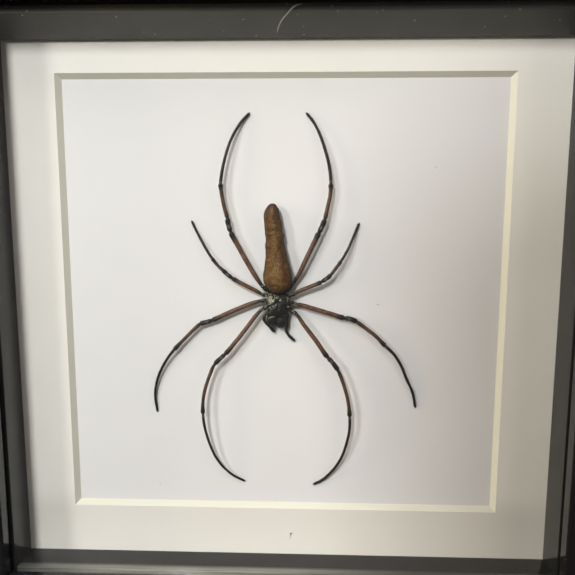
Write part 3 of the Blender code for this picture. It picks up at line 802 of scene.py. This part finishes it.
rings, masks = shell_surface(120, 110)
parts = [(*closed_shell(rings), cap_masks(masks))]
for x, y, size in EYES:
    away = np.hypot(rings[..., 0] - x, rings[..., 1] - y)
    away[rings[..., 2] < UPPER_SIDE] = np.inf
    height = rings[np.unravel_index(np.argmin(away), away.shape)][2]
    parts.append((*closed_shell(bead((x, y, height), size, 8, 12)), {}))
thick = masks["down"].ravel() ** 1.5
tufts = draws.choice(thick.size, TUFTS, p=thick / thick.sum()).repeat(HAIRS_PER_TUFT)
roots = rings.reshape(-1, 3)[tufts]
roots = roots + draws.normal(0.0, TUFT_SPREAD, roots.shape) * (1, 1, 0)
heading = draws.normal(math.pi / 2, 1.2, TUFTS).repeat(HAIRS_PER_TUFT)
heading += draws.normal(0.0, 0.15, len(roots))
reach = draws.uniform(0.4, 1.1, len(roots))
ways = np.stack([np.cos(heading) * reach, np.sin(heading) * reach, 0.35 * reach], axis=-1)
bends = np.stack([np.zeros(len(roots)), np.zeros(len(roots)), -0.3 * reach], axis=-1)
fullness = draws.uniform(0.15, 1.0, len(roots)).repeat(7)
parts.append((*grow(roots, ways, bends, SILVER_HAIR_RADIUS), {"pale": fullness}))
spots = draws.choice(rings[..., 2].size, FINE_HAIRS)
roots = rings.reshape(-1, 3)[spots]
outward = roots - (-1.5, -1.0, 3.0)
outward /= np.linalg.norm(outward, axis=1)[:, None]
ways = (outward + draws.normal(0.0, 0.3, roots.shape)) * draws.uniform(0.4, 0.9, (len(roots), 1))
parts.append((*grow(roots, ways, ways * (0.1, 0.1, -0.3), FINE_HAIR_RADIUS), {"pale": 0.15}))
dress("cephalothorax", "shell", parts, ("down", "pale"), dark_shell)


# Chelicerae
# Two bulging black jaws under the brow, each with a fang folded in across its end. They grow from
# the shell, and a pale line over the left one's rim is partly pale skin and partly a painted highlight.

# middle (x, y, h), half sizes, and the fang's path
JAWS = {
    "chelicera_left": (
        (-3.95, -7.5, 3.0), (2.45, 2.55, 2.2),
        [(-3.6, -9.2, 2.4), (-3.0, -9.8, 1.9), (-2.4, -9.9, 1.4), (-1.9, -9.5, 0.9)],
    ),
    "chelicera_right": (
        (-0.5, -7.9, 2.7), (2.5, 3.0, 2.3),
        [(-0.6, -9.9, 2.4), (-1.0, -10.5, 1.9), (-1.5, -10.4, 1.4), (-1.8, -9.9, 0.9)],
    ),
}
# the pale line over the left jaw, partly pale skin and partly a painted highlight, and its radii
PALE_SKIN_AND_HIGHLIGHT = [
    (-5.9, -7.3, 4.2), (-5.3, -6.5, 5.0), (-4.5, -5.95, 5.6), (-3.6, -5.8, 5.9), (-2.9, -5.85, 5.8),
]
PALE_SKIN_AND_HIGHLIGHT_RADII = (0.08, 0.3, 0.12)
jaw_shell = shell_finish("black_jaw_shell", 0.42)


def tube_surface(path, radii, around):
    """Rings at right angles to the path: point + radius (side cos a + rise sin a)."""
    ahead = np.gradient(path, axis=0)
    ahead /= np.linalg.norm(ahead, axis=1)[:, None]
    side = np.cross(ahead, (0.0, 0.0, 1.0))
    side /= np.linalg.norm(side, axis=1)[:, None]
    rise = np.cross(side, ahead)
    angle = np.linspace(0, 2 * math.pi, around, endpoint=False)[None, :, None]
    outward = side[:, None] * np.cos(angle) + rise[:, None] * np.sin(angle)
    return path[:, None] + outward * np.asarray(radii)[:, None, None], outward, ahead


def tapered_tube(knots, shares, radii, rows, around=10):
    """A closed tube on the smooth curve through the knots, with its radius at shares of the way."""
    share = np.linspace(0, 1, rows)
    path = smooth_curve(knots, share * (len(knots) - 1))
    return closed_shell(tube_surface(path, np.interp(share, shares, radii), around)[0])


def bristles(rings, outward, ahead, count, length, radius, lean):
    """Hairs on a limb, at random rings and sides, leaning towards its end."""
    row = draws.integers(2, len(rings) - 2, count)
    column = draws.integers(0, rings.shape[1], count)
    reach = draws.uniform(0.6, 1.2, (count, 1)) * length
    ways = outward[row, column] * (1 - lean) + ahead[row] * lean
    ways = (ways + draws.normal(0.0, 0.12, ways.shape)) * reach
    return grow(rings[row, column], ways, ahead[row] * reach * 0.15, radius)


for name, (middle, half, fang) in JAWS.items():
    bulb = bead(middle, half, 48, 48)
    bulb += 0.12 * cloud(bulb, 1.3, 13)[..., None] + 0.06 * cloud(bulb, 0.5, 15)[..., None]
    middles = bulb.mean(axis=1)
    outward = bulb - middles[:, None]
    outward /= np.linalg.norm(outward, axis=2)[:, :, None]
    ahead = np.broadcast_to((0.0, -1.0, 0.0), middles.shape)
    parts = [
        (*closed_shell(bulb), {}),
        (*tapered_tube(fang, (0, 1), (0.5, 0.06), 14), {}),
        (*bristles(bulb, outward, ahead, count=260, length=0.8, radius=0.02, lean=0.55), {"pale": 0.1}),
    ]
    if name == "chelicera_left":
        # the pale line is partly a painted highlight on the jaw's rim
        pale_skin_and_highlight = tapered_tube(PALE_SKIN_AND_HIGHLIGHT, (0, 0.5, 1), PALE_SKIN_AND_HIGHLIGHT_RADII, 30)
        parts.append((*pale_skin_and_highlight, {"pale": 0.22}))
    dress(name, "jaw", parts, ("down", "pale"), jaw_shell)


# Palps
# Two short feelers beside the jaws, black, jointed, and bristly.
PALPS = {
    "palp_left": [
        (-4.4, -3.9, 2.8), (-6.0, -4.9, 2.8), (-7.2, -6.2, 2.8), (-7.45, -7.7, 2.7),
        (-6.2, -9.3, 2.4), (-5.0, -10.7, 2.0), (-3.9, -12.1, 1.4), (-3.1, -12.9, 1.0),
    ],
    "palp_right": [
        (1.4, -3.8, 2.4), (2.0, -5.6, 2.3), (1.9, -7.6, 2.3), (1.8, -10.3, 2.2),
        (1.5, -12.1, 2.0), (2.3, -13.8, 1.7), (3.6, -15.3, 1.3), (5.1, -16.8, 0.9),
    ],
}
# share of the length, radius
PALP_JOINTS = np.array([
    (0.0, 0.5), (0.12, 0.62), (0.2, 0.62), (0.235, 0.46), (0.27, 0.6), (0.38, 0.66), (0.43, 0.64),
    (0.46, 0.46), (0.5, 0.6), (0.62, 0.66), (0.66, 0.62), (0.69, 0.46), (0.73, 0.6), (0.86, 0.66),
    (0.95, 0.52), (1.0, 0.2),
])

for name, knots in PALPS.items():
    share = np.linspace(0, 1, 90)
    path = smooth_curve(knots, share * (len(knots) - 1))
    rings, outward, ahead = tube_surface(path, np.interp(share, *PALP_JOINTS.T), 16)
    parts = [
        (*closed_shell(rings), {}),
        (*bristles(rings, outward, ahead, count=420, length=0.7, radius=0.022, lean=0.6), {"pale": 0.1}),
    ]
    dress(name, "feeler", parts, ("down", "pale"), dark_shell)


# Legs
# Eight jointed legs: black at the hip, the knees and the feet, red-brown between, with bristles
# that lean towards the claws. Each is glued to the card where its foot touches.

# points of the coxa, femur, patella, tibia and foot; each segment starts where the last one ends
LEGS = {
    "leg_1_left": [
        [(-6.3, -1.8, 2.9), (-8.2, -3.2, 3.2)],
        [(-10.7, -5.8, 3.6), (-14.0, -10.2, 3.8), (-19.0, -16.6, 4.0), (-23.3, -21.7, 4.1)],
        [(-25.0, -23.3, 4.1), (-27.6, -26.0, 4.1)],
        [(-29.8, -30.9, 4.3), (-31.6, -36.3, 4.7), (-32.4, -40.5, 5.0), (-32.6, -46.7, 5.1)],
        [(-32.1, -51.9, 4.9), (-30.4, -59.2, 4.2), (-27.8, -66.1, 3.3), (-24.2, -71.5, 2.4),
         (-20.4, -75.1, 1.5), (-16.0, -77.7, 0.7)],
    ],
    "leg_2_left": [
        [(-6.6, 0.1, 2.8), (-8.3, 0.2, 2.9)],
        [(-11.9, -0.7, 2.9), (-17.6, -3.0, 2.7), (-23.4, -5.6, 2.6), (-28.6, -8.0, 2.6)],
        [(-31.0, -8.8, 2.6), (-33.5, -9.6, 2.6)],
        [(-35.8, -11.6, 2.7), (-39.3, -15.0, 2.8), (-44.3, -20.3, 2.9)],
        [(-46.4, -22.9, 2.7), (-49.4, -27.6, 2.3), (-51.9, -33.3, 1.8), (-53.2, -39.9, 1.2),
         (-52.6, -47.5, 0.7)],
    ],
    "leg_3_left": [
        [(-6.5, 1.9, 2.8), (-8.1, 2.9, 3.0)],
        [(-10.9, 4.5, 3.4), (-15.2, 6.7, 3.6), (-19.9, 9.3, 3.3)],
        [(-22.5, 11.2, 3.2), (-23.8, 12.5, 3.1)],
        [(-25.3, 13.8, 3.1), (-28.1, 17.1, 2.9)],
        [(-31.1, 21.7, 2.2), (-33.7, 26.3, 1.3), (-36.5, 32.0, 0.7)],
    ],
    "leg_4_left": [
        [(-5.7, 3.6, 2.3), (-7.6, 5.7, 2.7)],
        [(-10.5, 9.6, 3.0), (-13.5, 14.6, 3.0), (-17.3, 21.5, 3.1), (-20.5, 27.7, 3.2)],
        [(-21.4, 30.5, 3.2), (-21.8, 33.1, 3.2)],
        [(-22.8, 36.8, 3.2), (-23.9, 42.4, 3.3), (-24.3, 46.6, 3.4)],
        [(-23.7, 51.2, 3.5), (-22.3, 57.2, 3.3), (-19.7, 64.5, 2.6), (-16.3, 70.3, 1.5),
         (-13.1, 73.9, 0.7)],
    ],
    "leg_1_right": [
        [(2.9, -2.4, 2.9), (4.8, -4.3, 3.2)],
        [(8.9, -9.7, 3.7), (13.6, -15.8, 3.9), (18.4, -22.6, 4.1)],
        [(20.1, -24.4, 4.1), (22.6, -28.0, 4.2)],
        [(24.8, -33.4, 4.3), (26.8, -40.6, 4.4), (27.6, -47.2, 4.3)],
        [(27.7, -52.3, 4.2), (26.6, -59.0, 3.7), (24.0, -66.8, 2.8), (20.3, -72.6, 1.9),
         (16.3, -76.7, 1.1), (13.1, -78.6, 0.7)],
    ],
    "leg_2_right": [
        [(3.3, -0.5, 2.8), (5.1, -0.9, 2.9)],
        [(7.8, -1.5, 2.8), (12.0, -2.8, 2.6), (19.4, -5.0, 2.4), (25.0, -6.7, 2.4)],
        [(27.2, -6.9, 2.5), (30.0, -8.2, 2.6)],
        [(32.9, -10.25, 2.6), (37.5, -13.8, 2.4), (41.6, -18.0, 2.2)],
        [(44.7, -20.9, 2.1), (48.2, -26.1, 1.8), (50.8, -32.1, 1.4), (53.4, -37.8, 1.0),
         (54.8, -44.2, 0.7)],
    ],
    "leg_3_right": [
        [(3.2, 1.7, 2.8), (4.9, 3.2, 3.1)],
        [(7.0, 4.4, 3.4), (10.9, 6.1, 3.7), (15.5, 8.1, 3.8)],
        [(17.6, 9.5, 3.8), (19.3, 11.0, 3.8)],
        [(20.9, 13.2, 3.7), (23.2, 16.3, 3.4)],
        [(25.7, 20.6, 2.8), (28.3, 26.5, 1.6), (30.3, 31.3, 0.7)],
    ],
    "leg_4_right": [
        [(2.3, 3.6, 2.3), (4.1, 7.2, 2.6)],
        [(6.7, 11.3, 3.1), (9.2, 16.7, 3.5), (11.9, 22.4, 3.6), (14.4, 27.6, 3.5)],
        [(15.5, 29.9, 3.4), (16.6, 32.7, 3.4)],
        [(17.7, 37.6, 3.2), (18.7, 42.4, 3.0), (18.9, 46.6, 2.9)],
        [(18.2, 53.4, 2.8), (16.8, 58.9, 2.6), (14.8, 64.7, 2.1), (11.9, 70.5, 1.3),
         (9.2, 73.9, 0.7)],
    ],
}
# against the radii of the joints below; the legs that aren't named are 1
THICKNESS = {
    "leg_1_left": 0.96, "leg_2_right": 1.05, "leg_3_left": 0.9, "leg_3_right": 0.9,
    "leg_4_left": 1.06, "leg_4_right": 1.06,
}
HIP_REACH = 1.7  # the coxa runs on under the shell by this much
BODY_MIDDLE_X = -1.7
# share of the segment, radius, and how black it is
JOINTS = [
    [(0.0, 0.8, 1.0), (0.3, 0.98, 1.0), (0.75, 0.98, 1.0), (0.93, 0.85, 1.0), (1.0, 0.62, 1.0)],
    [(0.015, 0.76, 1.0), (0.045, 0.8, 1.0), (0.065, 0.64, 1.0), (0.085, 0.68, 0.9), (0.2, 0.81, 0.25),
     (0.35, 0.88, 0.0), (0.65, 0.92, 0.0), (0.84, 0.92, 0.25), (0.91, 0.98, 0.85), (0.965, 1.08, 1.0),
     (0.985, 0.96, 1.0), (1.0, 0.6, 1.0)],
    [(0.06, 0.64, 1.0), (0.2, 0.98, 1.0), (0.48, 0.86, 1.0), (0.75, 1.0, 1.0), (0.92, 1.0, 1.0),
     (1.0, 0.54, 1.0)],
    [(0.03, 0.6, 0.9), (0.08, 0.78, 0.7), (0.25, 0.73, 0.35), (0.6, 0.69, 0.35), (0.82, 0.7, 0.65),
     (0.94, 0.9, 1.0), (0.98, 0.97, 1.0), (1.0, 0.45, 1.0)],
    [(0.012, 0.54, 1.0), (0.05, 0.63, 1.0), (0.1, 0.59, 0.9), (0.3, 0.57, 0.9), (0.5, 0.55, 0.95),
     (0.68, 0.53, 1.0), (0.7, 0.47, 1.0), (0.72, 0.51, 1.0), (0.9, 0.5, 1.0), (0.98, 0.47, 1.0),
     (1.0, 0.32, 1.0)],
]
RINGS_PER_SEGMENT = (16, 90, 26, 70, 130)
# pale slits on top of the patella and the foot, partly pale skin and partly a painted highlight:
# how strong, at what share of the segment, how wide
PALE_SLITS_AND_GLINTS = {2: (0.18, 0.42, 0.12), 4: (0.22, 0.03, 0.012)}
# the pale at the hips is partly pale down and partly a painted glint
HIP_RINGS = 24  # as far as the pale down at the hip reaches
# how far three claws reach ahead, spread and curve down to the card
CLAW_REACH = 0.5
CLAW_SPREAD = [(0.15, 0.0, 0.05), (-0.15, 0.0, 0.05), (0.0, 0.1, 0.0)]
CLAW_DROP = 0.25
CLAW_RADIUS = 0.07

leg_skin, tree, shader = new_finish("red_brown_leg_shell", Specular_IOR_Level=0.22)
streaky = ramp(tree, object_noise(tree, 900.0, 3.0), 0.35, 0.65)
red_brown = blend(tree, streaky, (0.070, 0.030, 0.016, 1.0), (0.150, 0.082, 0.050, 1.0))
# the dark mask holds the black joints and painted shade on each leg's sides
jointed = blend(tree, mask(tree, "dark"), red_brown, (0.006, 0.005, 0.004, 1.0))
# the pale slits on top are partly a painted highlight
slit = blend(tree, mask(tree, "pale"), jointed, (0.60, 0.58, 0.48, 1.0))
tree.links.new(slit, shader.inputs["Base Color"])
tree.links.new(ramp(tree, streaky, 0.0, 1.0, 0.3, 0.45), shader.inputs["Roughness"])
add_bump(tree, shader, object_noise(tree, 2600.0, 2.0), 0.00003)

for name, segments in LEGS.items():
    thickness = THICKNESS.get(name, 1.0)
    knots = np.array([point for segment in segments for point in segment])
    knots[0, 0] += math.copysign(HIP_REACH, BODY_MIDDLE_X - knots[0, 0])
    places, radii, dark, pale = [], [], [], []
    start = 0
    for number, (segment, table) in enumerate(zip(segments, JOINTS)):
        # the coxa holds its own first knot; the others start at the last knot of the one before
        spans = len(segment) - 1 if number == 0 else len(segment)
        share = np.linspace(0, 1, RINGS_PER_SEGMENT[number], endpoint=number == len(JOINTS) - 1)
        stations = np.array(table)
        places.append(start + share * spans)
        radii.append(np.interp(share, stations[:, 0], stations[:, 1]) * thickness)
        dark.append(np.interp(share, stations[:, 0], stations[:, 2]))
        strength, middle, width = PALE_SLITS_AND_GLINTS.get(number, (0.0, 0.0, 1.0))
        pale.append(strength * bell(share - middle, width))
        start += spans
    path = smooth_curve(knots, np.concatenate(places))
    rings, outward, ahead = tube_surface(path, np.concatenate(radii), 16)
    rings += outward * (0.03 * cloud(rings, 1.2, 14))[..., None]
    upward = outward[..., 2]
    # painted shade: each leg's sides are darker than its top
    flanks = 0.9 * np.clip(1.15 - 1.5 * upward, 0, 1)
    masks = {
        "dark": np.maximum(np.concatenate(dark)[:, None], flanks),
        "pale": np.concatenate(pale)[:, None] * bell(upward - 1, 0.12),
    }
    hip = slice(0, HIP_RINGS)
    claw_roots = np.repeat(path[-1:], len(CLAW_SPREAD), axis=0)
    claw_ways = ahead[-1] * CLAW_REACH + np.array(CLAW_SPREAD)
    claw_bends = claw_ways * (0, 0, 1) - (0, 0, CLAW_DROP)
    parts = [
        (*closed_shell(rings), cap_masks(masks)),
        (*bristles(rings, outward, ahead, count=1100, length=0.75, radius=0.018, lean=0.7), {"dark": 1.0}),
        # pale hairs at each hip, partly pale down and partly a painted glint
        (*bristles(rings[hip], outward[hip], ahead[hip], count=34, length=0.6, radius=0.115, lean=0.8),
         {"pale": 1.0}),
        (*grow(claw_roots, claw_ways, claw_bends, CLAW_RADIUS), {"dark": 1.0}),
    ]
    dress(name, "limb", parts, ("dark", "pale"), leg_skin)


# Dust and lint
# A curl of lint that lies up the leaning strip and against the back of the glass, and a few dark
# grains on the card and the mat, one with threads like a star. Places are millimetres from the
# frame's middle, as for the rails.
LINT = [
    (-1.9, 101.9, 4.4), (-1.2, 103.2, 7.2), (0.2, 104.8, 10.4), (2.2, 106.1, 13.2),
    (3.4, 107.0, 14.62), (4.3, 107.8, 14.62), (5.6, 108.6, 14.62), (7.6, 109.0, 14.62),
]
# x, y and h, then the half sizes
GRAINS = [
    (-52.3, -80.1, -2.0, 0.22, 0.2, 0.1), (-57.4, -64.9, -2.0, 0.25, 0.18, 0.1),
    (0.0, -52.4, -2.0, 0.2, 0.2, 0.1), (38.5, -1.6, -2.0, 0.5, 0.12, 0.1),
    (60.0, 52.9, -2.0, 0.22, 0.25, 0.1), (3.6, -100.6, 0.02, 0.32, 0.3, 0.12),
]
# the middle of the star on the mat, and how far each of its threads reaches from there
STAR_MIDDLE = (3.6, -100.6, 0.1)
STAR_THREADS = [
    (0.9, 1.0, 0.1), (-0.9, 0.8, 0.1), (1.1, -0.1, 0.0), (-1.0, -0.2, 0.0), (0.5, -0.9, 0.0),
    (-0.4, -3.2, 0.0),
]

lint_finish, tree, shader = new_finish("grey_lint", Roughness=0.95, Specular_IOR_Level=0.1)
tree.links.new(blend(tree, object_noise(tree, 3000.0, 2.0), (0.28, 0.27, 0.24, 1.0),
                     (0.50, 0.48, 0.42, 1.0)), shader.inputs["Base Color"])
curl = tapered_tube(LINT, (0.0, 0.1, 0.5, 0.8, 1.0), (0.06, 0.26, 0.24, 0.38, 0.1), 60)
lint = make_piece("curl_of_lint", *curl, [lint_finish])
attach(lint, "root")

grain_finish, tree, shader = new_finish("dark_dust_grain", Roughness=0.9, Specular_IOR_Level=0.2)
tree.links.new(blend(tree, object_noise(tree, 4000.0, 2.0), (0.03, 0.02, 0.012, 1.0),
                     (0.12, 0.09, 0.06, 1.0)), shader.inputs["Base Color"])
grains = [(*closed_shell(bead(spot[:3], spot[3:], 8, 10)), {}) for spot in GRAINS]
threads = np.array(STAR_THREADS)
star_roots = np.broadcast_to(STAR_MIDDLE, threads.shape)
grains.append((*grow(star_roots, threads, threads[:, [1, 0, 2]] * 0.2, 0.06), {}))
points, faces, masks = gather(grains, ())
dust = make_piece("grains_of_dust", points, faces, [grain_finish])
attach(dust, "root")


# Floor, lights and surroundings
# A plain pale floor. The key lamp and a side lamp stand to the upper left of the camera. Weaker
# lamps at the low left, at the right and high up fill the shadows, and one behind shows the back.
SCENE_TARGET = (0.0, 0.0, 0.125)
# name, place, width, power and colour
LAMPS = [
    ("key_lamp", (-0.26, -0.795, 0.605), 0.15, 8.2, (1.0, 0.97, 0.99)),
    ("side_lamp", (-1.18, -1.195, 0.625), 0.30, 13.8, (1.0, 0.94, 0.93)),
    ("low_left_lamp", (-1.1, -0.2, 0.35), 0.5, 12.0, (1.0, 0.78, 0.52)),
    ("right_lamp", (0.9, -0.8, 0.5), 0.8, 3.7, (1.0, 0.83, 0.82)),
    ("high_lamp", (-0.2, -0.8, 1.3), 0.9, 7.7, (1.0, 0.92, 0.92)),
    ("rear_lamp", (0.5, 0.9, 0.9), 0.8, 9.0, (1.0, 1.0, 1.0)),
]
# the outline, x and z, of a black card near the camera, which keeps the key lamp off the right side
SHADE_Y = -0.27
SHADE_EDGE = [
    (-0.0564, 0.0), (-0.0574, 0.2600), (-0.0640, 0.2820), (-0.0630, 0.3010), (-0.0560, 0.3180),
    (-0.0410, 0.3310), (-0.0169, 0.3408), (0.0422, 0.3490), (0.25, 0.3525), (0.25, 0.0),
]
# the same of a black bar just over the top rail, which softens the shadow under the leaning strip
BAR_Y = -0.0303
BAR_EDGE = [(-0.2, 0.2402), (0.2, 0.2402), (0.2, 0.25), (-0.2, 0.25)]
FLOOR_REACH = 3.0
ROOM_COLOUR = (1.0, 0.88, 0.79, 1.0)
# the room's strength as light on the frame, in its gloss, and where the camera sees past it
ROOM_LIGHT, ROOM_GLOSS, ROOM_SEEN = 0.15, 0.02, 0.75

for name, stand, size, power, colour in LAMPS:
    lamp = bpy.data.objects.new(name, bpy.data.lights.new(name, "AREA"))
    lamp.data.shape = "DISK"
    lamp.data.size = size
    lamp.data.energy = power
    lamp.data.color = colour
    back = np.subtract(stand, SCENE_TARGET)
    back /= np.linalg.norm(back)
    right = np.cross((0.0, 0.0, 1.0), back)
    right /= np.linalg.norm(right)
    turned = Matrix((right, np.cross(back, right), back)).transposed().to_4x4()
    lamp.matrix_world = Matrix.Translation(stand) @ turned
    bpy.context.collection.objects.link(lamp)


def lay_out(name, corners, finish, unseen):
    """A flat sheet in the room, left out of the kinds of ray that are named."""
    mesh = bpy.data.meshes.new(name)
    mesh.from_pydata(corners, [], [tuple(range(len(corners)))])
    mesh.materials.append(finish)
    sheet = bpy.data.objects.new(name, mesh)
    for kind in unseen:
        setattr(sheet, f"visible_{kind}", False)
    bpy.context.collection.objects.link(sheet)


shade_finish = new_finish("shade_black", Base_Color=(0.0, 0.0, 0.0, 1.0), Roughness=1.0)[0]
for name, y, edge in (("shade", SHADE_Y, SHADE_EDGE), ("shade_bar", BAR_Y, BAR_EDGE)):
    lay_out(name, [(x, y, z) for x, z in edge], shade_finish, ("camera", "glossy", "transmission"))
floor_finish = new_finish("pale_floor", Base_Color=(0.6, 0.6, 0.59, 1.0), Roughness=0.8)[0]
floor_corners = [(x * FLOOR_REACH, y * FLOOR_REACH, 0) for x, y in ((-1, -1), (1, -1), (1, 1), (-1, 1))]
lay_out("floor", floor_corners, floor_finish, ("diffuse", "glossy"))

surroundings = bpy.data.worlds.new("studio")
bpy.context.scene.world = surroundings
surroundings.use_nodes = True
tree = surroundings.node_tree
backdrop = tree.nodes["Background"]
backdrop.inputs["Color"].default_value = ROOM_COLOUR
ray = add_node(tree, "ShaderNodeLightPath")
dimmed = ramp(tree, ray.outputs["Is Glossy Ray"], 0.0, 1.0, ROOM_LIGHT, ROOM_GLOSS)
seen = ramp(tree, ray.outputs["Is Camera Ray"], 0.0, 1.0, dimmed, ROOM_SEEN)
tree.links.new(seen, backdrop.inputs["Strength"])
bpy.context.scene.view_settings.view_transform = "Standard"
